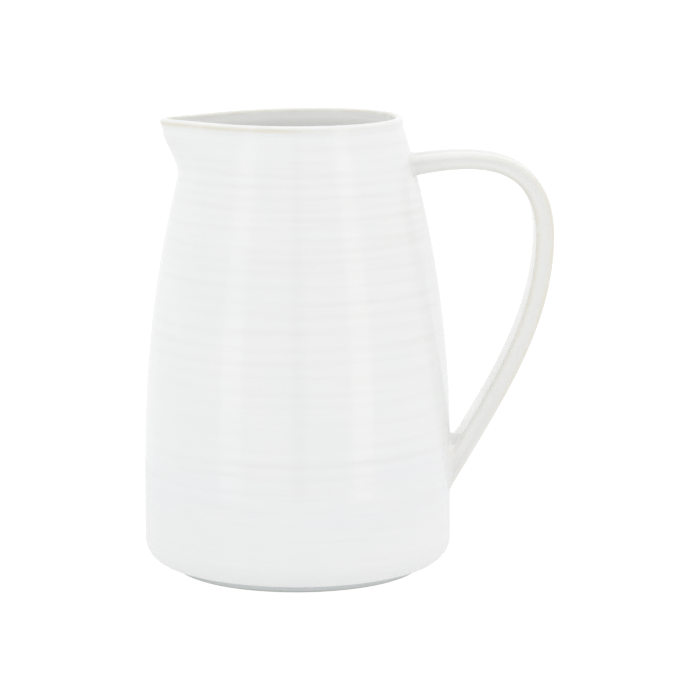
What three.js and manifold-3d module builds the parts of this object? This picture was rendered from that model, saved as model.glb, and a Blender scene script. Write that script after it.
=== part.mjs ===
import * as THREE from 'three';
import { mergeVertices } from 'three/addons/utils/BufferGeometryUtils.js';
import Module from 'manifold-3d';

// Ceramic pitcher, in millimetres. +Z is up, the spout points along -X and the handle along +X.
// Everything is drawn about the body's own axis and centred on its bounding box at the end.

// Body
const HEIGHT = 203.2;              // table to lip
const BELLY_RADIUS = 69;           // widest outer radius, just above the heel
const MOUTH_RADIUS = 46.3;         // outer wall radius level with the lip's centre
const LEAN_START = 40;             // height where the wall begins to lean in
const LEAN_POWER = 2.24;           // how late the lean gathers
const WALL = 4.2;                  // wall thickness
const FLOOR = 6;                   // floor thickness
const LIP_RADIUS = 1.9;            // half the lip's rounded thickness
const HEEL_RADIUS = 10;            // rounding between the wall and the underside
const WELL_RADIUS = 13;            // rounding between the inner wall and the floor

// Spout
const SPOUT_REACH = 13.8;          // how far the lip is pulled beyond the round mouth
const SPOUT_DEPTH = 28;            // how far below the lip the pull dies away
const SPOUT_DIP = 0.8;             // how far the lip falls at the spout
const SPOUT_HALF_ANGLE = 0.21;     // width of the pull at the lip, in radians
const SPOUT_SPREAD = 0.1;          // extra width of the pull at its lower end, in radians

// Foot
const FOOT_HEIGHT = 3.6;
const FOOT_RADIUS = 55.6;          // outer radius where it meets the table
const FOOT_WIDTH = 5.4;
const FOOT_FLARE = 0.7;            // how much the ring widens towards the body
const FOOT_EASE = 0.6;             // small bevel on the standing edges

// Handle
const STRAP_WIDTH = 24;
const STRAP_THIN = 6.2;            // thickness where it leaves the wall at the top
const STRAP_THICK = 8.2;           // thickness from the bend downwards
const STRAP_CORNER = 1.7;          // rounding of the strap's four edges
const STRAP_GROOVE = 0.8;          // depth of the groove along the outside
const STRAP_HOLLOW = 0.35;         // how far the two side faces dish in
const HANDLE_TOP = [46, 182];      // radius and height of the upper end, inside the wall
const HANDLE_BEND = [110.1, 150];  // the centreline's outermost point
const HANDLE_FOOT = [62, 34.1];    // radius and height of the lower end, inside the wall
const TOP_LEAD = [32, 5];          // how the centreline sets off from each of these points
const BEND_LEAD_UP = [0, 38.5];
const BEND_LEAD_DOWN = [0, -40.3];
const FOOT_LEAD = [24.5, 41.5];
const FILLET = 2.8;                // how far the clay flares where it meets the wall
const UPPER_REACH = 12;            // how far from the wall the flare begins at the upper end
const LOWER_REACH = 7;             // the same at the lower end
const PAD = 2.2;                   // thickness of the luting pads
const GAP = 0.3;                   // clearance between pieces that touch in the real object

// Fineness
const TURNS = 96;                  // divisions around the axis
const WALL_STEPS = 8;              // divisions of each side of the wall, below the spout and again beside it
const ARC_STEPS = 5;               // divisions of a rounded edge
const STRAP_STEPS = 52;            // divisions along the strap

const LIP_HEIGHT = HEIGHT - LIP_RADIUS;
const UNDERSIDE = FOOT_HEIGHT + GAP;
const FLOOR_TOP = UNDERSIDE + FLOOR;
const LIP_START = LIP_HEIGHT - 2.5;

const wasm = await Module();
wasm.setup();

function wallRadius(height) {
  const rise = Math.max(0, (height - LEAN_START) / (LIP_HEIGHT - LEAN_START));
  return BELLY_RADIUS - (BELLY_RADIUS - MOUTH_RADIUS) * rise ** LEAN_POWER;
}

// Points of an arc, both ends included, with angles in degrees.
function arc(x, y, radius, from, to, steps) {
  return Array.from({ length: steps + 1 }, (_, i) => {
    const angle = THREE.MathUtils.degToRad(from + (to - from) * i / steps);
    return new THREE.Vector2(x + radius * Math.cos(angle), y + radius * Math.sin(angle));
  });
}

// Heights up the wall, closer together beside the spout. The two ends are left out.
function wallHeights(low, high) {
  const spoutFoot = HEIGHT - SPOUT_DEPTH;
  const evenly = (from, to) => {
    const step = (to - from) / WALL_STEPS;
    return Array.from({ length: WALL_STEPS }, (_, i) => from + step * i);
  };
  return [...evenly(low, spoutFoot).slice(1), ...evenly(spoutFoot, high)];
}

// Joins a geometry's coincident vertices and drops the faces that collapse on the axis.
function closed(geometry) {
  geometry.deleteAttribute('normal');
  geometry.deleteAttribute('uv');
  const merged = mergeVertices(geometry, 1e-4);
  const index = merged.getIndex().array;
  const kept = [];
  for (let i = 0; i < index.length; i += 3) {
    const [a, b, c] = [index[i], index[i + 1], index[i + 2]];
    if (a !== b && b !== c && c !== a) {
      kept.push(a, b, c);
    }
  }
  merged.setIndex(kept);
  return merged;
}

// Turns a profile of radius and height about +Z.
function turned(points) {
  const geometry = new THREE.LatheGeometry(points, TURNS);
  geometry.rotateX(Math.PI / 2);
  return closed(geometry);
}

function toSolid(geometry) {
  const vertProperties = Float32Array.from(geometry.getAttribute('position').array);
  const triVerts = Uint32Array.from(geometry.getIndex().array);
  return new wasm.Manifold(new wasm.Mesh({ numProp: 3, vertProperties, triVerts }));
}

function toGeometry(solid) {
  const mesh = solid.getMesh();
  const geometry = new THREE.BufferGeometry();
  const positions = Float32Array.from(mesh.vertProperties);
  geometry.setAttribute('position', new THREE.BufferAttribute(positions, 3));
  geometry.setIndex(Array.from(mesh.triVerts));
  return geometry;
}

function bodyProfile() {
  const heel = arc(BELLY_RADIUS - HEEL_RADIUS, UNDERSIDE + HEEL_RADIUS, HEEL_RADIUS, -90, 0, ARC_STEPS);
  const outside = wallHeights(UNDERSIDE + HEEL_RADIUS, LIP_START)
    .map((z) => new THREE.Vector2(wallRadius(z), z));
  const lipCentre = wallRadius(LIP_START) - LIP_RADIUS;
  const lip = arc(lipCentre, LIP_HEIGHT, LIP_RADIUS, 0, 180, ARC_STEPS + 3);
  const wellTop = FLOOR_TOP + WELL_RADIUS;
  const inside = wallHeights(wellTop, LIP_START)
    .map((z) => new THREE.Vector2(wallRadius(z) - WALL, z))
    .reverse();
  const wellCentre = BELLY_RADIUS - WALL - WELL_RADIUS;
  const well = arc(wellCentre, wellTop, WELL_RADIUS, 0, -90, ARC_STEPS);
  return [
    new THREE.Vector2(0, UNDERSIDE),
    ...heel,
    ...outside,
    ...lip,
    ...inside,
    ...well,
    new THREE.Vector2(0, FLOOR_TOP),
  ];
}

// How strongly the spout pulls at a given angle from its own direction and depth below the lip, 0 to 1.
function spoutPull(angle, depth) {
  if (depth >= SPOUT_DEPTH) {
    return 0;
  }
  const down = Math.max(0, depth / SPOUT_DEPTH);
  const width = SPOUT_HALF_ANGLE + SPOUT_SPREAD * down;
  return (1 + Math.cos(Math.PI * down)) / 2 / Math.cosh(angle / width);
}

// Gathers the vertices towards the spout, then draws the wall out to form it.
function pullSpout(geometry) {
  const position = geometry.getAttribute('position');
  for (let i = 0; i < position.count; i += 1) {
    const radius = Math.hypot(position.getX(i), position.getY(i));
    const even = Math.atan2(position.getY(i), -position.getX(i));
    const angle = even - 0.5 * Math.sin(even);
    const pull = spoutPull(angle, HEIGHT - position.getZ(i));
    const reach = radius + SPOUT_REACH * pull;
    position.setX(i, -reach * Math.cos(angle));
    position.setY(i, reach * Math.sin(angle));
    const fade = Math.max(0, 1 - (HEIGHT - position.getZ(i)) / SPOUT_DEPTH);
    const dip = SPOUT_DIP * ((1 + Math.cos(angle)) / 2) ** 2 * fade;
    position.setZ(i, position.getZ(i) - dip);
  }
  return geometry;
}

function bodyGeometry() {
  return pullSpout(turned(bodyProfile()));
}

function footGeometry() {
  const outer = FOOT_RADIUS;
  const inner = FOOT_RADIUS - FOOT_WIDTH;
  const corners = [
    [inner + FOOT_EASE, 0],
    [outer - FOOT_EASE, 0],
    [outer, FOOT_EASE],
    [outer + FOOT_FLARE, FOOT_HEIGHT],
    [inner - FOOT_FLARE, FOOT_HEIGHT],
    [inner, FOOT_EASE],
    [inner + FOOT_EASE, 0],
  ];
  return turned(corners.map(([radius, height]) => new THREE.Vector2(radius, height)));
}

// A solid of everything within a given distance outside the body's wall, used to shape the handle's ends.
function wallEnvelope(offset) {
  const steps = 40;
  const side = Array.from({ length: steps + 1 }, (_, i) => {
    const z = HEIGHT * i / steps;
    return new THREE.Vector2(wallRadius(z) + offset, z);
  });
  const points = [new THREE.Vector2(0, 0), ...side, new THREE.Vector2(0, HEIGHT)];
  return toSolid(turned(points));
}

// The strap's centreline: out from the wall to the bend, then down and back in.
function handleCurve() {
  const at = ([radius, height], lead = [0, 0]) => new THREE.Vector3(radius + lead[0], 0, height + lead[1]);
  const curve = new THREE.CurvePath();
  curve.add(new THREE.CubicBezierCurve3(
    at(HANDLE_TOP),
    at(HANDLE_TOP, TOP_LEAD),
    at(HANDLE_BEND, BEND_LEAD_UP),
    at(HANDLE_BEND),
  ));
  curve.add(new THREE.CubicBezierCurve3(
    at(HANDLE_BEND),
    at(HANDLE_BEND, BEND_LEAD_DOWN),
    at(HANDLE_FOOT, FOOT_LEAD),
    at(HANDLE_FOOT),
  ));
  return curve;
}

// The strap's cross-section as [across, out] pairs: rounded edges, dished sides, grooved outer face.
function strapSection(thickness, grooveDepth) {
  const half = STRAP_WIDTH / 2;
  const deep = thickness / 2;
  const across = half - STRAP_CORNER;
  const out = deep - STRAP_CORNER;
  const steps = 3;
  const corner = (x, y, from) => arc(x, y, STRAP_CORNER, from, from + 90, steps).map((p) => [p.x, p.y]);
  const groove = [0.62, 0.34, 0.17, 0, -0.17, -0.34, -0.62].map((share) => {
    const dip = Math.cos(Math.min(1, Math.abs(share) / 0.34) * Math.PI / 2) ** 2;
    return [share * across, deep - grooveDepth * dip];
  });
  return [
    ...corner(across, out, 0),
    ...groove,
    ...corner(-across, out, 90),
    [-half + STRAP_HOLLOW, 0],
    ...corner(-across, -out, 180),
    [0, -deep],
    ...corner(across, -out, 270),
    [half - STRAP_HOLLOW, 0],
  ];
}

// Pushes a point of the strap away from its centreline as it nears the body's wall.
function flared(point, away, reach) {
  const clear = Math.hypot(point.x, point.y) - wallRadius(point.z);
  const near = Math.min(1, Math.max(0, 1 - clear / reach));
  return point.addScaledVector(away, FILLET * near ** 3);
}

function ringOf(curve, share) {
  const centre = curve.getPointAt(share);
  const along = curve.getTangentAt(share);
  const sideways = new THREE.Vector3(0, 1, 0);
  const outwards = new THREE.Vector3().crossVectors(along, sideways);
  const swell = THREE.MathUtils.smoothstep(share, 0.08, 0.36);
  const thickness = STRAP_THIN + (STRAP_THICK - STRAP_THIN) * swell;
  const grooveDepth = STRAP_GROOVE * THREE.MathUtils.smoothstep(1 - share, 0.12, 0.3);
  const reach = share < 0.5 ? UPPER_REACH : LOWER_REACH;
  return strapSection(thickness, grooveDepth).map(([across, out]) => {
    const point = centre.clone().addScaledVector(sideways, across).addScaledVector(outwards, out);
    const away = sideways.clone().multiplyScalar(2 * across / STRAP_WIDTH)
      .addScaledVector(outwards, Math.min(0, 2 * out / thickness));
    return flared(point, away, reach);
  });
}

// The strap between two shares of its length, closed with flat ends.
function strapSolid(from, to) {
  const curve = handleCurve();
  const steps = Math.max(8, Math.round(STRAP_STEPS * (to - from)));
  const rings = Array.from({ length: steps + 1 }, (_, i) => ringOf(curve, from + (to - from) * i / steps));
  const size = rings[0].length;
  const points = rings.flat();
  const faces = [];
  for (let i = 0; i < steps; i += 1) {
    for (let j = 0; j < size; j += 1) {
      const a = i * size + j;
      const b = i * size + (j + 1) % size;
      faces.push(a, b, a + size, b, b + size, a + size);
    }
  }
  const flat = strapSection(STRAP_THIN, 0).map(([across, out]) => new THREE.Vector2(across, out));
  const lastRing = steps * size;
  for (const [a, b, c] of THREE.ShapeUtils.triangulateShape(flat, [])) {
    faces.push(c, b, a);
    faces.push(lastRing + a, lastRing + b, lastRing + c);
  }
  const geometry = new THREE.BufferGeometry().setFromPoints(points);
  geometry.setIndex(faces);
  return toSolid(geometry);
}

function handleGeometry() {
  return toGeometry(strapSolid(0, 1).subtract(wallEnvelope(2 * GAP + PAD)));
}

function padGeometry(from, to) {
  const shell = wallEnvelope(GAP + PAD).subtract(wallEnvelope(GAP));
  return toGeometry(strapSolid(from, to).intersect(shell));
}

function glaze() {
  return new THREE.MeshStandardMaterial({ color: 0xf0f1ee, roughness: 0.16, metalness: 0 });
}

function bareClay() {
  return new THREE.MeshStandardMaterial({ color: 0xc3c7cb, roughness: 0.75, metalness: 0 });
}

function piece(name, geometry, material) {
  geometry.computeVertexNormals();
  const mesh = new THREE.Mesh(geometry, material);
  mesh.name = name;
  return mesh;
}

// Puts the origin under the middle of the whole object's bounding box.
function centre(group) {
  const middle = new THREE.Box3().setFromObject(group).getCenter(new THREE.Vector3());
  group.position.set(-middle.x, -middle.y, 0);
}

const pitcher = new THREE.Group();
pitcher.name = 'pitcher';
pitcher.add(
  piece('body', bodyGeometry(), glaze()),
  piece('foot_ring', footGeometry(), bareClay()),
  piece('handle', handleGeometry(), glaze()),
  piece('upper_handle_joint', padGeometry(0, 0.14), glaze()),
  piece('lower_handle_joint', padGeometry(0.82, 1), glaze()),
);
centre(pitcher);

export default pitcher;
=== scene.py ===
"""The looks of a glazed ceramic pitcher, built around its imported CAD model.

Metres, +Z up, with the spout towards -X and the handle towards +X, as in the CAD. The body is drawn
about its own axis, which stands off the origin because the handle reaches further than the spout.
"""

import math

import bmesh
import bpy
import numpy as np
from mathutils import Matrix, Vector


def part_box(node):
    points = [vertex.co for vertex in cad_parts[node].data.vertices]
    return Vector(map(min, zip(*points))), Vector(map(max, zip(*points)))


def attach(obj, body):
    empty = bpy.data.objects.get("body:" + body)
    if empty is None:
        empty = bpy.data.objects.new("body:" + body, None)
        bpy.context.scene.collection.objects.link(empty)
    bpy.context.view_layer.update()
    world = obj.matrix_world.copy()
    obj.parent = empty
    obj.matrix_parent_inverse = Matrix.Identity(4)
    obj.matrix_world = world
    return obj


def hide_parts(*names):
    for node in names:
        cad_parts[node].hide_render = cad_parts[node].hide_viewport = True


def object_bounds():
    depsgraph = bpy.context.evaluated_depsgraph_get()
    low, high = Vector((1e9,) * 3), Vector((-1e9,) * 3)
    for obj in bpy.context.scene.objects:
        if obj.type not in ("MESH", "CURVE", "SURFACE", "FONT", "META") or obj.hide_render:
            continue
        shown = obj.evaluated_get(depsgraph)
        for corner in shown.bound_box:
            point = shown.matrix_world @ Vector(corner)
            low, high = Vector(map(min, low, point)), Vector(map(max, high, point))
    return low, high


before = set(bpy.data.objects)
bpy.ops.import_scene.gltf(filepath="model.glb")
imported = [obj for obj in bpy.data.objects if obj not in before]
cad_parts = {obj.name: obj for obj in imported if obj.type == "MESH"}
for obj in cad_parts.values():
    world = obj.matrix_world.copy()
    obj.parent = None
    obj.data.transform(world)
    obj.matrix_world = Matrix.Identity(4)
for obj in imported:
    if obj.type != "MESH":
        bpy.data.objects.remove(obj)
cad_low, cad_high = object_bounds()
body_low, body_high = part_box("body")
foot_low, foot_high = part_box("foot_ring")

MM = 0.001
AXIS = (foot_low + foot_high) / 2

# Body, as in the CAD
HEIGHT = cad_high.z
BELLY_RADIUS = body_high.y
GLAZE_ROLL = 0.5 * MM              # the glaze rolls this far down past the edge of the heel
UNDERSIDE = body_low.z - GLAZE_ROLL
MOUTH_RADIUS = 46.3 * MM
LEAN_START = 40 * MM
LEAN_POWER = 2.24
WALL = 4.2 * MM
FLOOR_TOP = UNDERSIDE + 6 * MM
LIP_RADIUS = 1.9 * MM
LIP_HEIGHT = HEIGHT - LIP_RADIUS
LIP_START = LIP_HEIGHT - 2.5 * MM
LIP_SQUARENESS = 2 / 2.35          # 1 would make the lip's section a half circle
HEEL_RADIUS = 10 * MM
WELL_RADIUS = 13 * MM
POLE_RADIUS = 4 * MM               # the innermost ring of vertices, under the base and on the floor

# Spout, as in the CAD
SPOUT_REACH = 13.8 * MM
SPOUT_DEPTH = 28 * MM
SPOUT_DIP = 0.8 * MM
SPOUT_HALF_ANGLE = 0.21
SPOUT_SPREAD = 0.1

# Handle, as in the CAD
STRAP_WIDTH = 24 * MM
STRAP_THIN = 6.2 * MM
STRAP_THICK = 8.2 * MM
STRAP_CORNER = 2.0 * MM
STRAP_GROOVE = 0.8 * MM
STRAP_HOLLOW = 0.35 * MM
BEND_RADIUS = cad_high.x - AXIS.x - STRAP_THICK / 2
HANDLE_TOP = np.array([46, 182]) * MM
HANDLE_BEND = np.array([BEND_RADIUS, 150 * MM])
HANDLE_FOOT = np.array([62, 34.1]) * MM
TOP_LEAD = np.array([32, 5]) * MM
BEND_LEAD_UP = np.array([0, 38.5]) * MM
BEND_LEAD_DOWN = np.array([0, -40.3]) * MM
FOOT_LEAD = np.array([24.5, 41.5]) * MM
SIDE_FLARE = 1.8 * MM
SIDE_REACH = 26 * MM
LOWER_SWELL = 2.8 * MM
LOWER_SWELL_REACH = 7 * MM
SINK = 0.3 * MM                    # how far the edge of a fillet runs on into the wall
UPPER_SWELL = 1.6 * MM
UPPER_SWELL_REACH = 36 * MM
UPPER_FILLET = (1.8, 1.8, 3.0)     # in mm at the strap's sides, its inner face and its outer face
LOWER_FILLET = (2.4, 5.4, 1.2)

# Foot ring, as in the CAD
FOOT_FLARE = 0.7 * MM
FOOT_RADIUS = (foot_high.x - foot_low.x) / 2 - FOOT_FLARE
FOOT_WIDTH = 5.4 * MM
FOOT_TOP = UNDERSIDE + 0.2 * MM    # the ring's top is let into the underside by this much
FOOT_EASE = 0.7 * MM
FOOT_COLUMNS = 256

# Marks of the potter's hands
WOBBLE = 0.22 * MM
NECK_DEPTH = 0.22 * MM
RING_WIDTH = 1.45 * MM
RING_WANDER = 0.4 * MM
RING_TOP = 193 * MM
RING_BOTTOM = 25 * MM
RING_PITCH_HIGH = 5 * MM           # the grooves lie closer together near the mouth
RING_PITCH_LOW = 6.5 * MM
RING_PITCH_CHANGE = (130 * MM, 160 * MM)
RING_JITTER = 0.18                 # how unevenly the hand rose, as a share of the pitch
RING_DEPTH = 0.2 * MM
RING_FAINT = 0.4                   # the lower wall was smoothed to this share of the depth
RING_SMOOTHED = (95 * MM, 112 * MM)
RING_GROUP = 57 * MM               # a few clear grooves were left here
RING_GROUP_WIDTH = 6.5 * MM
LIP_SMOOTHED = (LIP_HEIGHT - 9 * MM, LIP_HEIGHT - 3 * MM)
HEEL_SMOOTHED = (UNDERSIDE + 4 * MM, UNDERSIDE + HEEL_RADIUS + 6 * MM)
POOL_DEPTH = 0.2 * MM              # a groove this deep is fully pooled
BODY_COLUMNS = 168
STRAP_SAMPLES = 600

# Studio
TABLE_LIGHT_RADIUS = 0.27
TABLE_SEEN_RADIUS = 0.34
TABLE_THICKNESS = 4 * MM
SURROUND = 0.99                    # brightness of the white surround
SHADE_AHEAD = 0.45                 # how much darker it is straight ahead of the pitcher
SHADE_FRONT = 0.1                  # and over the rest of the camera's side
SEEN_SURROUND = 1.1                # brightness of the surround as the camera sees it
SOFTBOX_DISTANCE = 1.25
SOFTBOX_HEIGHT = 0.33
SOFTBOX_SIZE = (0.36, 1.3)
SIDE_SOFTBOXES = (                 # name, degrees round from the camera, radiance, tint
    ("Softbox_Left", -50, 0.5, (1, 1, 1)),
    ("Softbox_Right", 47.5, 0.62, (1.0, 0.88, 0.9)),
)
TOP_SOFTBOX_HEIGHT = 1.5
TOP_SOFTBOX_SIZE = (0.7, 0.7)
TOP_SOFTBOX_RADIANCE = 0.8

# Camera
CAMERA_YAW = math.radians(0.987)
CAMERA_PITCH = math.radians(9.743)
CAMERA_DISTANCE = 1.3658
CAMERA_HEIGHT = 0.3326
FOCAL_LENGTH = 158.43              # in mm, as is the sensor
SENSOR_WIDTH = 36


def smoothstep(low, high, value):
    share = np.clip((value - low) / (high - low), 0, 1)
    return share * share * (3 - 2 * share)


def bell(value, middle, width):
    return np.exp(-((value - middle) / width) ** 2)


# ---------------------------------------------------------------- mesh helpers

def ring_faces(rows, columns):
    """Quads between each closed ring of vertices and the next."""
    row = np.arange(rows - 1)[:, None] * columns
    here = np.arange(columns)
    after = (here + 1) % columns
    corners = (row + here, row + after, row + columns + after, row + columns + here)
    return np.stack(corners, axis=-1).reshape(-1, 4).tolist()


def fan(pole, first, columns):
    """Triangles from a pole to the ring that starts at vertex first."""
    return [[pole, first + i, first + (i + 1) % columns] for i in range(columns)]


def build(name, points, faces, **marks):
    """A smooth mesh object from points about the body's axis, with a number per vertex for each mark."""
    mesh = bpy.data.meshes.new(name)
    placed = np.asarray(points) + [AXIS.x, AXIS.y, 0]
    mesh.from_pydata(placed.tolist(), [], faces)
    for mark, values in marks.items():
        attribute = mesh.attributes.new(mark, "FLOAT", "POINT")
        attribute.data.foreach_set("value", np.asarray(values, np.float32))
    shape = bmesh.new()
    shape.from_mesh(mesh)
    bmesh.ops.recalc_face_normals(shape, faces=shape.faces)
    shape.to_mesh(mesh)
    shape.free()
    mesh.polygons.foreach_set("use_smooth", np.ones(len(mesh.polygons), bool))
    mesh.update()
    piece = bpy.data.objects.new(name, mesh)
    bpy.context.scene.collection.objects.link(piece)
    return piece


def capped_tube(name, rings, **marks):
    """A closed mesh from rings of points, shaped rows x columns x 3, with a fan over each end."""
    rows, columns, _ = rings.shape
    poles = np.stack([rings[0].mean(axis=0), rings[-1].mean(axis=0)])
    points = np.concatenate([rings.reshape(-1, 3), poles])
    count = rows * columns
    faces = ring_faces(rows, columns) + fan(count, 0, columns) + fan(count + 1, count - columns, columns)
    padded = {mark: np.append(values.ravel(), [0, 0]) for mark, values in marks.items()}
    return build(name, points, faces, **padded)


# ---------------------------------------------------------------- the body's wall

def wall_radius(height):
    rise = np.maximum(0, (height - LEAN_START) / (LIP_HEIGHT - LEAN_START))
    return BELLY_RADIUS - (BELLY_RADIUS - MOUTH_RADIUS) * rise ** LEAN_POWER


def throwing_rings():
    """Height, depth and wandering phases of each groove round the wall, from the mouth down."""
    random = np.random.default_rng(11)
    rings = []
    middle = RING_TOP
    while middle > RING_BOTTOM:
        clear = max(smoothstep(*RING_SMOOTHED, middle), bell(middle, RING_GROUP, RING_GROUP_WIDTH))
        cut = RING_DEPTH * (RING_FAINT + (1 - RING_FAINT) * clear) * random.uniform(0.75, 1.2)
        rings.append((middle, cut, random.uniform(0, 2 * math.pi, 4)))
        near_mouth = smoothstep(*RING_PITCH_CHANGE, middle)
        pitch = RING_PITCH_LOW + (RING_PITCH_HIGH - RING_PITCH_LOW) * near_mouth
        middle -= pitch * random.uniform(1 - RING_JITTER, 1 + RING_JITTER)
    return rings


def ring_depth(height, angle):
    """How deep the throwing rings cut at a height and an angle round the axis. Each one wanders a little."""
    depth = np.zeros(np.broadcast(height, angle).shape)
    for middle, cut, phase in throwing_rings():
        wave = np.sin(angle + phase[0]) + 0.6 * np.sin(2 * angle + phase[1])
        wave = wave + 0.3 * np.sin(5 * angle + phase[2])
        strength = 0.62 + 0.25 * np.sin(2 * angle + phase[3]) + 0.13 * np.sin(7 * angle + phase[0])
        depth += cut * strength * bell(height, middle + RING_WANDER * wave, RING_WIDTH)
    return depth


def hand_wobble(height, angle):
    """Slow unevenness of the thrown wall, as a distance from the true radius."""
    rise = height / HEIGHT
    return WOBBLE * (rise * np.sin(2 * angle + 0.7) + 0.6 * np.sin(3 * angle + 2 + 3 * rise))


def spout_pull(angle, height):
    down = np.clip((HEIGHT - height) / SPOUT_DEPTH, 0, 1)
    width = SPOUT_HALF_ANGLE + SPOUT_SPREAD * down
    return (1 + np.cos(np.pi * down)) / 2 / np.cosh(angle / width)


def outer_wall(height, angle):
    """The outer face's distance from the axis where the handle joins, at an angle from the spout."""
    below_lip = 1 - smoothstep(*LIP_SMOOTHED, height)
    relief = hand_wobble(height, angle) - ring_depth(height, angle) * below_lip
    return wall_radius(height) + relief


def arc(centre_radius, centre_height, radius, start, end, steps):
    turn = np.radians(np.linspace(start, end, steps))
    return np.stack([centre_radius + radius * np.cos(turn), centre_height + radius * np.sin(turn)], axis=1)


def level_line(radius, height):
    return np.stack([radius, np.full(len(radius), height)], axis=1)


def lip_curve(steps):
    """The lip's section from the outer face over to the inner one, a little squarer than a half circle."""
    turn = np.radians(np.linspace(0, 180, steps + 2)[1:-1])
    centre = wall_radius(LIP_START) - LIP_RADIUS
    across = np.sign(np.cos(turn)) * np.abs(np.cos(turn)) ** LIP_SQUARENESS
    up = np.sin(turn) ** LIP_SQUARENESS
    return np.stack([centre + LIP_RADIUS * across, LIP_HEIGHT + LIP_RADIUS * up], axis=1)


def body_profile():
    """Rows of the body's section as radius and height, and each one's side: 1 outside, -1 inside, 0 flat."""
    heel_top = UNDERSIDE + HEEL_RADIUS
    well_top = FLOOR_TOP + WELL_RADIUS
    well_centre = BELLY_RADIUS - WALL - WELL_RADIUS
    out_height = np.linspace(heel_top, LIP_HEIGHT, 400)
    in_height = np.linspace(LIP_HEIGHT, well_top, 90)
    out_radius = wall_radius(np.minimum(out_height, LIP_START))
    in_radius = wall_radius(np.minimum(in_height, LIP_START)) - WALL
    lip_inside = wall_radius(LIP_START) - 2 * LIP_RADIUS
    in_radius += (lip_inside + WALL - wall_radius(LIP_START)) * smoothstep(LIP_START, LIP_HEIGHT, in_height)
    heel_centre = BELLY_RADIUS - HEEL_RADIUS
    segments = [
        (level_line(np.linspace(POLE_RADIUS, heel_centre, 12)[:-1], UNDERSIDE), 0),
        (arc(heel_centre, heel_top, HEEL_RADIUS, -90, 0, 16)[:-1], 1),
        (np.stack([out_radius, out_height], axis=1), 1),
        (lip_curve(22), 1),
        (np.stack([in_radius, in_height], axis=1), -1),
        (arc(well_centre, well_top, WELL_RADIUS, 0, -90, 12)[1:], -1),
        (level_line(np.linspace(well_centre, POLE_RADIUS, 9)[1:], FLOOR_TOP), 0),
    ]
    rows = np.concatenate([points for points, _ in segments])
    faces = np.concatenate([np.full(len(points), side) for points, side in segments])
    return rows, faces


def body_angles():
    """The mesh columns' angles from the spout, closer together near it, as one row."""
    even = np.linspace(0, 2 * math.pi, BODY_COLUMNS, endpoint=False)
    angle = even - 0.5 * np.sin(even)
    return np.where(angle > math.pi, angle - 2 * math.pi, angle)[None, :]


def body_marks(rows, side, angle, grooves):
    """Where the glaze pools, where it runs thin along the lip, and where painted light whitens the inside,
    less so deeper down.
    """
    outer_half = (np.arange(len(rows)) <= np.argmax(rows[:, 1]))[:, None]
    below_crest = HEIGHT - rows[:, 1][:, None]
    towards_spout = 0.12 + 0.88 * smoothstep(-0.5, 0.3, np.cos(angle))
    outer_break = 0.8 * towards_spout * bell(below_crest, 1.9 * MM, 0.85 * MM)
    inner_break = 0.55 * bell(below_crest, 0.8 * MM, 0.7 * MM)
    # painted light: the inside is whitened below the lip, a little less from 10 to 40 mm down, to lift its
    # shade
    painted_fill_light = smoothstep(1 * MM, 5 * MM, below_crest) * (1 - 0.24 * smoothstep(10 * MM, 40 * MM, below_crest))
    return {
        "pool": np.clip(grooves / POOL_DEPTH, 0, 1.4),
        "thin": np.where(outer_half, outer_break, inner_break) * np.ones_like(grooves),
        "painted_fill_light": np.where((side < 0)[:, None], painted_fill_light, 0) * np.ones_like(grooves),
    }


def make_body():
    rows, side = body_profile()
    angle = body_angles()
    radius = rows[:, 0][:, None]
    height = rows[:, 1][:, None]

    below_lip = 1 - smoothstep(*LIP_SMOOTHED, height)
    above_heel = smoothstep(*HEEL_SMOOTHED, height)
    grooves = ring_depth(height, angle) * below_lip * above_heel
    neck = NECK_DEPTH * bell(height, LIP_HEIGHT - 2.6 * MM, 1.6 * MM)
    wobble = hand_wobble(height, angle)
    relief = np.where((side > 0)[:, None], wobble - grooves - neck, 0)
    relief = relief + np.where((side < 0)[:, None], wobble + 0.7 * grooves, 0)

    pulled = radius + relief + SPOUT_REACH * spout_pull(angle, height)
    near_lip = np.clip(1 - (HEIGHT - height) / SPOUT_DEPTH, 0, 1)
    dip = SPOUT_DIP * ((1 + np.cos(angle)) / 2) ** 2 * near_lip
    uneven = (0.29 - 0.16 * np.sin(angle) + 0.23 * np.sin(2 * angle + 2.59)) * MM * near_lip
    rings = np.stack([
        -pulled * np.cos(angle),
        pulled * np.sin(angle),
        height - dip + uneven + np.zeros_like(pulled),
    ], axis=-1)
    return capped_tube("Glazed_Body", rings, **body_marks(rows, side, angle, grooves))


# ---------------------------------------------------------------- the foot ring

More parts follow.
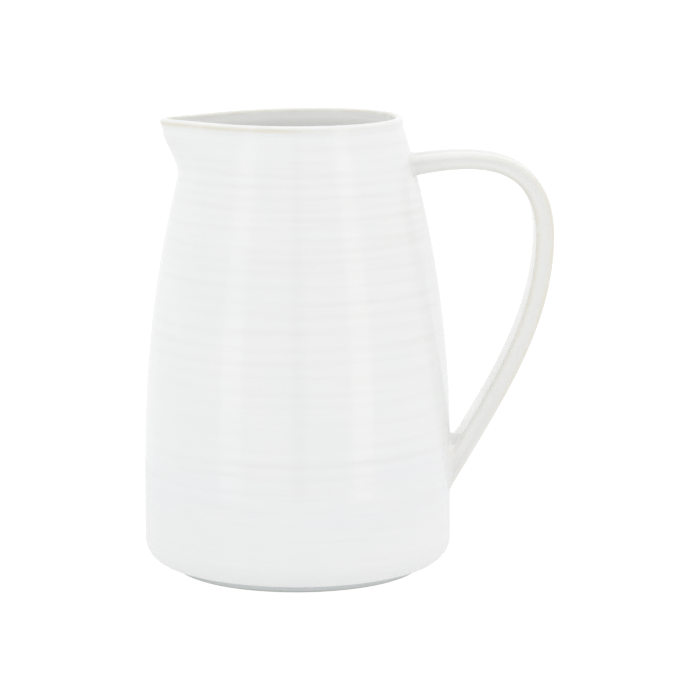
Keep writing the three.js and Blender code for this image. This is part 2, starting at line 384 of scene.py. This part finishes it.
def make_foot_ring():
    """The bare ring, with the turning tool's lines round its outer side and a painted contact shadow along
    its edge at the table.
    """
    ease = FOOT_EASE
    inner = FOOT_RADIUS - FOOT_WIDTH
    outer_side = np.linspace(ease, FOOT_TOP, 22)
    inner_side = np.linspace(FOOT_TOP, ease, 8)
    tool_lines = 0.05 * MM * np.sin(outer_side / (0.62 * MM)) * smoothstep(0, 1 * MM, outer_side)
    outer_flare = FOOT_FLARE * (outer_side / FOOT_TOP) ** 1.6
    rows = np.concatenate([
        arc(inner + ease, ease, ease, 180, 270, 6),
        level_line(np.linspace(inner + ease, FOOT_RADIUS - ease, 8)[1:-1], 0.0),
        arc(FOOT_RADIUS - ease, ease, ease, 270, 360, 7)[:-1],
        np.stack([FOOT_RADIUS + outer_flare + tool_lines, outer_side], axis=1),
        np.stack([inner - FOOT_FLARE * inner_side / FOOT_TOP, inner_side], axis=1)[:-1],
    ])
    angle = np.linspace(0, 2 * math.pi, FOOT_COLUMNS, endpoint=False)
    wobble = 0.08 * MM * np.sin(3 * angle + 0.4) + 0.04 * MM * np.sin(11 * angle)
    radius = rows[:, 0][:, None] + wobble
    rings = np.stack([
        radius * np.cos(angle),
        radius * np.sin(angle),
        rows[:, 1][:, None] + np.zeros_like(radius),
    ], axis=-1)
    closed = np.concatenate([rings, rings[:1]])
    faces = np.array(ring_faces(len(closed), FOOT_COLUMNS)) % (len(rows) * FOOT_COLUMNS)
    # painted contact shadow: the edge at the table is darkened where the ring meets it
    stain = 0.85 * bell(rings[:, :, 2], 0, 0.55 * MM)
    return build("Foot_Ring", rings.reshape(-1, 3), faces.tolist(), stain=stain.ravel())


# ---------------------------------------------------------------- the handle

def bezier(start, lead_out, lead_in, end, share):
    share = share[:, None]
    left = 1 - share
    return (left ** 3 * start + 3 * left ** 2 * share * lead_out
            + 3 * left * share ** 2 * lead_in + share ** 3 * end)


def strap_centreline():
    """Evenly spaced points of the centreline as radius and height, and its direction at each."""
    share = np.linspace(0, 1, STRAP_SAMPLES)
    upper = bezier(HANDLE_TOP, HANDLE_TOP + TOP_LEAD, HANDLE_BEND + BEND_LEAD_UP, HANDLE_BEND, share)
    lower = bezier(HANDLE_BEND, HANDLE_BEND + BEND_LEAD_DOWN, HANDLE_FOOT + FOOT_LEAD, HANDLE_FOOT, share)
    path = np.concatenate([upper, lower[1:]])
    run = np.concatenate([[0], np.cumsum(np.linalg.norm(np.diff(path, axis=0), axis=1))])
    even = np.linspace(0, run[-1], STRAP_SAMPLES)
    points = np.stack([np.interp(even, run, path[:, i]) for i in range(2)], axis=1)
    along = np.gradient(points, axis=0)
    return points, along / np.linalg.norm(along, axis=1)[:, None]


def strap_section(thickness, groove):
    """The strap's section as [across, out] pairs: rounded edges, dished sides, grooved outer face."""
    half = STRAP_WIDTH / 2
    deep = thickness / 2
    across = half - STRAP_CORNER
    out = deep - STRAP_CORNER

    def corner(x, y, start):
        turn = np.radians(np.linspace(start, start + 90, 8))
        return np.stack([x + STRAP_CORNER * np.cos(turn), y + STRAP_CORNER * np.sin(turn)], axis=1)

    def flat_face(steps, level, direction, dip):
        share = np.linspace(1, -1, steps + 2)[1:-1]
        return np.stack([direction * share * across, level + dip(share)], axis=1)

    def outer_dip(share):
        lobes = 0.25 * MM * np.sin(np.pi * np.abs(share)) ** 2
        return lobes - groove * np.cos(np.clip(np.abs(share) / 0.4, 0, 1) * np.pi / 2) ** 2

    def side_face(sign):
        share = np.linspace(sign, -sign, 7)[1:-1]
        dish = STRAP_HOLLOW * (1 - share ** 2)
        return np.stack([-sign * (half - dish), share * out], axis=1)

    return np.concatenate([
        corner(across, out, 0),
        flat_face(25, deep, 1, outer_dip),
        corner(-across, out, 90),
        side_face(1),
        corner(-across, -out, 180),
        flat_face(11, -deep, -1, lambda share: 0.2 * MM * (share ** 2 - 1)),
        corner(across, -out, 270),
        side_face(-1),
    ])


def strap_traces():
    """Lines along the strap's surface, its direction at each sample, and each line's place in the section."""
    centre, along = strap_centreline()
    share = np.linspace(0, 1, STRAP_SAMPLES)
    swell = smoothstep(0.08, 0.36, share)
    thickness = STRAP_THIN + (STRAP_THICK - STRAP_THIN) * swell
    groove = STRAP_GROOVE * smoothstep(0.12, 0.3, 1 - share)
    sections = np.stack([strap_section(t, g) for t, g in zip(thickness, groove)])
    pinch = 1 + 0.012 * np.sin(9 * share + 0.6) + 0.006 * np.sin(23 * share)
    across = sections[:, :, 0] * pinch[:, None]
    out = sections[:, :, 1]
    outwards = np.stack([-along[:, 1], np.zeros(STRAP_SAMPLES), along[:, 0]], axis=1)[:, None, :]
    sideways = np.array([0, 1, 0])
    traces = np.stack([centre[:, 0], np.zeros(STRAP_SAMPLES), centre[:, 1]], axis=1)[:, None, :]
    traces = traces + across[..., None] * sideways + out[..., None] * outwards
    corners = sections[0] / [STRAP_WIDTH / 2, STRAP_THIN / 2]
    upper = (share < 0.5)[:, None]
    clear = wall_clearance(traces)
    upper_swell = UPPER_SWELL * np.clip(1 - clear / UPPER_SWELL_REACH, 0, 1)
    lower_swell = LOWER_SWELL * np.clip(1 - clear / LOWER_SWELL_REACH, 0, 1) ** 3
    swell = np.where(upper, upper_swell, lower_swell)
    flare = SIDE_FLARE * np.clip(1 - clear / SIDE_REACH, 0, 1) ** 2
    inwards = np.minimum(0, corners[:, 1:]) * outwards
    traces = traces + flare[..., None] * corners[:, :1] * sideways + swell[..., None] * inwards
    return traces, along, corners


def wall_clearance(points):
    """How far each point is outside the body's wall."""
    angle = np.arctan2(points[..., 1], -points[..., 0])
    return np.hypot(points[..., 0], points[..., 1]) - outer_wall(points[..., 2], angle)


def at_shares(traces, shares):
    """The point of each trace at that trace's own share of the length."""
    even = np.linspace(0, 1, STRAP_SAMPLES)
    columns = [
        [np.interp(share, even, traces[:, j, k]) for k in range(3)]
        for j, share in enumerate(shares)
    ]
    return np.array(columns)


def share_at_clearance(clear, wanted, upper):
    """The share of each trace's length where it is a given distance outside the wall, near one end."""
    third = STRAP_SAMPLES // 3
    even = np.linspace(0, 1, STRAP_SAMPLES)
    found = []
    for j, distance in enumerate(wanted):
        if upper:
            found.append(np.interp(distance, clear[:third, j], even[:third]))
        else:
            found.append(np.interp(distance, clear[:-third:-1, j], even[:-third:-1]))
    return np.array(found)


def settle_on_wall(points, distance):
    """Moves points towards or away from the axis until they are a given distance outside the wall."""
    angle = np.arctan2(points[:, 1], -points[:, 0])
    radius = outer_wall(points[:, 2], angle) + distance
    return np.stack([-radius * np.cos(angle), radius * np.sin(angle), points[:, 2]], axis=1)


def fillet_rings(traces, along, directions, sizes, upper):
    """Rings that flow from the strap into the wall, from the strap's side to just inside the wall."""
    clear = wall_clearance(traces)
    end = 0 if upper else -1
    outwards = np.array([-along[end, 1], 0, along[end, 0]])
    away = directions[:, :1] * np.array([0, 1, 0]) + directions[:, 1:] * outwards
    foot = at_shares(traces, share_at_clearance(clear, np.zeros(len(sizes)), upper))
    step = 0.5 * MM
    slope = (wall_radius(foot[:, 2] + step) - wall_radius(foot[:, 2] - step)) / (2 * step)
    reach = np.hypot(foot[:, 0], foot[:, 1])
    normal = np.stack([foot[:, 0] / reach, foot[:, 1] / reach, -slope], axis=1)
    normal /= np.linalg.norm(normal, axis=1)[:, None]
    away -= np.sum(away * normal, axis=1)[:, None] * normal
    away /= np.linalg.norm(away, axis=1)[:, None]
    rings = []
    for turn in np.radians(np.linspace(0, 90, 11)):
        distance = sizes * (1 - math.sin(turn)) - SINK * (1 - math.cos(turn))
        share = share_at_clearance(clear, distance, upper)
        moved = at_shares(traces, share) + away * (sizes * (1 - math.cos(turn)))[:, None]
        rings.append(settle_on_wall(moved, distance))
    rings.append(settle_on_wall(rings[-1], np.full(len(sizes), -3 * SINK)))
    return rings, share_at_clearance(clear, sizes, upper)


def fillet_sizes(directions, fillet):
    """The fillet's size at each line, from its sizes at the strap's sides, inner face and outer face."""
    sideways = directions[:, 0] ** 2
    inner = np.where(directions[:, 1] < 0, directions[:, 1] ** 2, 0)
    outer = np.where(directions[:, 1] > 0, directions[:, 1] ** 2, 0)
    return (fillet[0] * sideways + fillet[1] * inner + fillet[2] * outer) * MM


def handle_marks(corners, directions, count):
    """Where the glaze is worn from the strap's edges and where it pools, and where painted light whitens the
    inner face at the lower joint.
    """
    share = np.linspace(0, 1, count)[:, None]
    reach = np.abs(corners) * [STRAP_WIDTH / 2, STRAP_THIN / 2]
    edge_middle = np.array([STRAP_WIDTH, STRAP_THIN]) / 2 - [0.16 * STRAP_CORNER, 0.45 * STRAP_CORNER]
    edge = bell(np.linalg.norm(reach - edge_middle, axis=1), 0, 1.0 * MM)
    edge = edge * np.where(corners[:, 1] > 0, 1, 0.8)
    worn = 0.15 + 0.5 * smoothstep(0.1, 0.4, share) * (1 - 0.6 * smoothstep(0.6, 0.9, share))
    inner = np.where(directions[:, 1] < 0, directions[:, 1] ** 2, 0)
    # painted light: white on the inner face near the lower joint, where the crevice lies in shade
    crotch = smoothstep(0.8, 0.94, share) * inner
    joint = 1.2 * (1 - smoothstep(0.02, 0.14, share))
    streaks = np.random.default_rng(5).uniform(-0.5, 1, len(corners))
    streaks = np.clip(streaks, 0, 1) * (0.9 + 0.5 * np.sin(7 * share + 3 * np.arange(len(corners))))
    return {"thin": edge[None, :] * worn, "pool": joint + streaks, "painted_fill_light": crotch}


def make_handle():
    traces, along, corners = strap_traces()
    directions = corners / np.linalg.norm(corners, axis=1)[:, None]
    upper_sizes = fillet_sizes(directions, UPPER_FILLET)
    lower_sizes = fillet_sizes(directions, LOWER_FILLET)
    upper, start = fillet_rings(traces, along, directions, upper_sizes, True)
    lower, stop = fillet_rings(traces, along, directions, lower_sizes, False)
    between = [
        at_shares(traces, start + (stop - start) * t)
        for t in np.linspace(0, 1, 262)[1:-1]
    ]
    rings = np.array(upper[::-1] + between + lower)
    return capped_tube("Strap_Handle", rings, **handle_marks(corners, directions, len(rings)))


# ---------------------------------------------------------------- materials

class Graph:
    """The node tree of a material or a world, with short calls for the nodes that are used here."""

    def __init__(self, owner, coordinates):
        owner.use_nodes = True
        self.owner = owner
        self.nodes = owner.node_tree.nodes
        self.links = owner.node_tree.links
        self.place = self.nodes.new("ShaderNodeTexCoord").outputs[coordinates]

    def join(self, source, target):
        if isinstance(source, bpy.types.NodeSocket):
            self.links.new(source, target)
        else:
            target.default_value = source

    def stretched(self, scale):
        node = self.nodes.new("ShaderNodeMapping")
        node.inputs["Scale"].default_value = scale
        self.links.new(self.place, node.inputs["Vector"])
        return node.outputs["Vector"]

    def noise(self, scale, detail=2.0, roughness=0.5, place=None):
        node = self.nodes.new("ShaderNodeTexNoise")
        node.inputs["Scale"].default_value = scale
        node.inputs["Detail"].default_value = detail
        node.inputs["Roughness"].default_value = roughness
        self.links.new(place or self.place, node.inputs["Vector"])
        return node.outputs["Fac"]

    def mark(self, name):
        node = self.nodes.new("ShaderNodeAttribute")
        node.attribute_name = name
        return node.outputs["Fac"]

    def remap(self, value, low, high, new_low, new_high):
        node = self.nodes.new("ShaderNodeMapRange")
        for i, number in enumerate((low, high, new_low, new_high)):
            node.inputs[i + 1].default_value = number
        self.links.new(value, node.inputs[0])
        return node.outputs[0]

    def math(self, operation, first, second):
        node = self.nodes.new("ShaderNodeMath")
        node.operation = operation
        self.join(first, node.inputs[0])
        self.join(second, node.inputs[1])
        return node.outputs[0]

    def mix(self, share, first, second):
        node = self.nodes.new("ShaderNodeMix")
        node.data_type = "RGBA"
        self.join(share, node.inputs["Factor"])
        self.join(first, node.inputs["A"])
        self.join(second, node.inputs["B"])
        return node.outputs["Result"]

    def bump(self, height, distance, strength=1.0, normal=None):
        node = self.nodes.new("ShaderNodeBump")
        node.inputs["Strength"].default_value = strength
        node.inputs["Distance"].default_value = distance
        self.links.new(height, node.inputs["Height"])
        if normal is not None:
            self.links.new(normal, node.inputs["Normal"])
        return node.outputs["Normal"]


def colour(red, green, blue):
    return (red, green, blue, 1.0)


def surface(name):
    """A new material's node tree and the sockets of its shader."""
    graph = Graph(bpy.data.materials.new(name), "Object")
    return graph, graph.nodes["Principled BSDF"].inputs


def warmed(red, green, blue, warmth):
    """A colour made darker and yellower."""
    return colour(red - 0.035 * warmth, green - 0.045 * warmth, blue - 0.07 * warmth)


def glaze_material(name, warmth):
    """A glossy off-white glaze: clouded, bluish low down, greyer where it pools, tan where it runs thin."""
    graph, sockets = surface(name)
    clouds = graph.noise(34, 3.0, 0.55)
    cool = warmed(0.862, 0.882, 0.873, warmth)
    pale = warmed(0.879, 0.887, 0.883, warmth)
    base = graph.mix(graph.remap(clouds, 0.35, 0.65, 0.0, 1.0), cool, pale)

    level = graph.nodes.new("ShaderNodeSeparateXYZ")
    graph.join(graph.place, level.inputs[0])
    low_band = graph.math(
        "MULTIPLY",
        graph.remap(level.outputs["Z"], 20 * MM, 34 * MM, 0.0, 1.0),
        graph.remap(level.outputs["Z"], 52 * MM, 72 * MM, 1.0, 0.0),
    )
    patches = graph.remap(graph.noise(1.0, 3.0, 0.6, graph.stretched((22, 22, 60))), 0.4, 0.62, 0.0, 1.0)
    bluish = graph.math("MULTIPLY", low_band, patches)
    base = graph.mix(bluish, base, colour(0.865, 0.873, 0.888))

    streaks = graph.noise(1.0, 3.0, 0.6, graph.stretched((14, 14, 420)))
    base = graph.mix(graph.remap(streaks, 0.45, 0.7, 0.0, 0.45), base, colour(0.845, 0.844, 0.843))
    pooled = graph.math("MULTIPLY", graph.mark("pool"), 0.5)
    base = graph.mix(pooled, base, colour(0.825, 0.826, 0.822))
    # painted light: whitens the inside of the body and the handle's crotch, where they lie in shade
    base = graph.mix(graph.mark("painted_fill_light"), base, colour(0.985, 0.985, 0.975))

    broken = graph.remap(graph.noise(110, 4.0, 0.62), 0.3, 0.5, 0.3, 1.0)
    thin = graph.math("MULTIPLY", graph.mark("thin"), broken)
    base = graph.mix(thin, base, colour(0.77, 0.725, 0.6))

    freckles = graph.remap(graph.noise(330, 1.0, 0.5), 0.81, 0.87, 0.0, 0.12)
    base = graph.mix(freckles, base, colour(0.6, 0.56, 0.48))
    graph.join(base, sockets["Base Color"])

    polish = graph.remap(graph.noise(90, 3.0, 0.6), 0.3, 0.7, 0.02, 0.04)
    worn = graph.math("MULTIPLY", thin, 0.25)
    graph.join(graph.math("ADD", polish, worn), sockets["Roughness"])

    ripples = graph.bump(graph.noise(1.0, 2.0, 0.5, graph.stretched((30, 30, 420))), 0.01 * MM)
    peel = graph.bump(graph.noise(260, 2.0, 0.5), 0.008 * MM, normal=ripples)
    graph.join(peel, sockets["Normal"])
    sockets["IOR"].default_value = 1.5
    return graph.owner


def clay_material():
    """Bare fired clay: matt, blue grey, with fine grain, the lines of the turning tool and a painted contact
    shadow along its bottom edge.
    """
    graph, sockets = surface("Bare_Clay")
    grain = graph.noise(900, 4.0, 0.65)
    tone = graph.mix(grain, colour(0.6, 0.63, 0.64), colour(0.75, 0.775, 0.78))
    lines = graph.noise(1.0, 2.0, 0.5, graph.stretched((20, 20, 2600)))
    tone = graph.mix(graph.remap(lines, 0.5, 0.75, 0.0, 0.4), tone, colour(0.38, 0.41, 0.44))
    # painted contact shadow: darkens the ring's bottom edge to a warm dark grey
    tone = graph.mix(graph.mark("stain"), tone, colour(0.36, 0.36, 0.31))
    graph.join(tone, sockets["Base Color"])
    graph.join(graph.remap(grain, 0.3, 0.7, 0.6, 0.85), sockets["Roughness"])
    graph.join(graph.bump(grain, 0.15 * MM), sockets["Normal"])
    return graph.owner


def stage_material(name, reflectance, glow):
    """A matt neutral surface that also gives off white light."""
    graph, sockets = surface(name)
    sockets["Base Color"].default_value = colour(reflectance, reflectance, reflectance)
    sockets["Roughness"].default_value = 0.9
    sockets["Specular IOR Level"].default_value = 0.0
    sockets["Emission Color"].default_value = colour(1, 1, 1)
    sockets["Emission Strength"].default_value = glow
    return graph.owner


# ---------------------------------------------------------------- stage

def round_table(name, radius, top, material):
    columns = 128
    angle = np.linspace(0, 2 * math.pi, columns, endpoint=False)
    edge = np.stack([radius * np.cos(angle), radius * np.sin(angle), np.full(columns, top)], axis=1)
    lower = edge - [0, 0, TABLE_THICKNESS]
    table = capped_tube(name, np.array([lower, edge]))
    table.data.polygons.foreach_set("use_smooth", np.zeros(len(table.data.polygons), bool))
    table.data.materials.append(material)
    return table


def make_floor():
    """A pale tabletop that lights and shades the pitcher, under a white one that the camera sees."""
    lighting = stage_material("Pale_Table", 0.35, 0.57)
    table = round_table("Table_Light", TABLE_LIGHT_RADIUS, -0.1 * MM, lighting)
    table.visible_camera = False
    seen = round_table("Table_White", TABLE_SEEN_RADIUS, 0.0, stage_material("White_Table", 0.08, 0.96))
    seen.visible_diffuse = False
    seen.visible_glossy = False
    seen.visible_shadow = False


def make_world():
    """White all round for the camera. For the pitcher it is dimmer on the camera's side and darkest ahead."""
    world = bpy.data.worlds.new("Studio")
    bpy.context.scene.world = world
    graph = Graph(world, "Generated")
    split = graph.nodes.new("ShaderNodeSeparateXYZ")
    graph.join(graph.place, split.inputs[0])
    x, y, z = split.outputs
    aside = graph.math("ABSOLUTE", x, 0.0)
    beside = graph.remap(y, -0.4, 0.0, 0.0, -0.03)
    far_side = graph.remap(y, 0.68, 0.76, 0.0, 0.03)
    behind = graph.math("ADD", beside, far_side)
    ahead = graph.remap(aside, 0.06, 0.1, SHADE_AHEAD, 0.0)
    front = graph.remap(aside, 0.6, 0.7, SHADE_FRONT, 0.0)
    camera_side = graph.remap(y, -0.3, 0.0, 1.0, 0.0)
    low_down = graph.remap(z, 0.45, 0.65, 1.0, 0.0)
    dim = graph.math("MULTIPLY", graph.math("ADD", ahead, front), camera_side)
    dim = graph.math("MULTIPLY", dim, low_down)
    lit = graph.math("SUBTRACT", graph.math("ADD", SURROUND, behind), dim)
    camera_ray = graph.nodes.new("ShaderNodeLightPath").outputs["Is Camera Ray"]
    seen = graph.math("MULTIPLY", camera_ray, SEEN_SURROUND)
    background = graph.nodes["Background"]
    background.inputs["Color"].default_value = colour(1, 1, 1)
    graph.join(graph.math("MAXIMUM", lit, seen), background.inputs["Strength"])


def softbox(name, position, target, size, radiance, tint=(1, 1, 1)):
    width, height = size
    light = bpy.data.lights.new(name, "AREA")
    light.shape = "RECTANGLE"
    light.size = width
    light.size_y = height
    light.energy = radiance * width * height * math.pi
    light.color = tint
    lamp = bpy.data.objects.new(name, light)
    bpy.context.scene.collection.objects.link(lamp)
    lamp.location = position
    lamp.rotation_mode = "QUATERNION"
    lamp.rotation_quaternion = (Vector(target) - Vector(position)).to_track_quat("-Z", "Y")
    lamp.visible_camera = False


def make_lights():
    """A tall softbox on each side of the camera, the right one a little warmer, and a broad one overhead."""
    for name, turn, radiance, tint in SIDE_SOFTBOXES:
        side = math.radians(turn)
        position = (
            AXIS.x + SOFTBOX_DISTANCE * math.sin(side),
            -SOFTBOX_DISTANCE * math.cos(side),
            SOFTBOX_HEIGHT,
        )
        softbox(name, position, (AXIS.x, 0, SOFTBOX_HEIGHT), SOFTBOX_SIZE, radiance, tint)
    overhead = (AXIS.x, -0.1, TOP_SOFTBOX_HEIGHT)
    softbox("Softbox_Top", overhead, (AXIS.x, 0, 0), TOP_SOFTBOX_SIZE, TOP_SOFTBOX_RADIANCE)


def make_camera():
    """The photograph's viewpoint: a little above the rim, with the pitcher in profile."""
    lens = bpy.data.cameras.new("Camera")
    lens.lens = FOCAL_LENGTH
    lens.sensor_width = SENSOR_WIDTH
    lens.clip_start = 0.05
    lens.clip_end = 20
    camera = bpy.data.objects.new("Camera", lens)
    bpy.context.scene.collection.objects.link(camera)
    camera.location = (AXIS.x, -CAMERA_DISTANCE, CAMERA_HEIGHT)
    level = math.cos(CAMERA_PITCH)
    ahead = Vector((math.sin(CAMERA_YAW) * level, math.cos(CAMERA_YAW) * level, -math.sin(CAMERA_PITCH)))
    camera.rotation_mode = "QUATERNION"
    camera.rotation_quaternion = ahead.to_track_quat("-Z", "Y")
    bpy.context.scene.camera = camera


# ---------------------------------------------------------------- the scene

def finish_piece(piece, material, slot, *nodes):
    piece.data.materials.append(material)
    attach(piece, "root")
    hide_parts(*nodes)


finish_piece(make_body(), glaze_material("Glaze_Body", 0.0), "glaze", "body")
finish_piece(make_foot_ring(), clay_material(), "bare_clay", "foot_ring")
finish_piece(
    make_handle(), glaze_material("Glaze_Handle", 0.6), "glaze",
    "handle", "upper_handle_joint", "lower_handle_joint",
)

make_floor()
make_world()
make_lights()
make_camera()
bpy.context.scene.view_settings.view_transform = "Standard"
bpy.context.scene.cycles.max_bounces = 20
bpy.context.scene.cycles.diffuse_bounces = 16
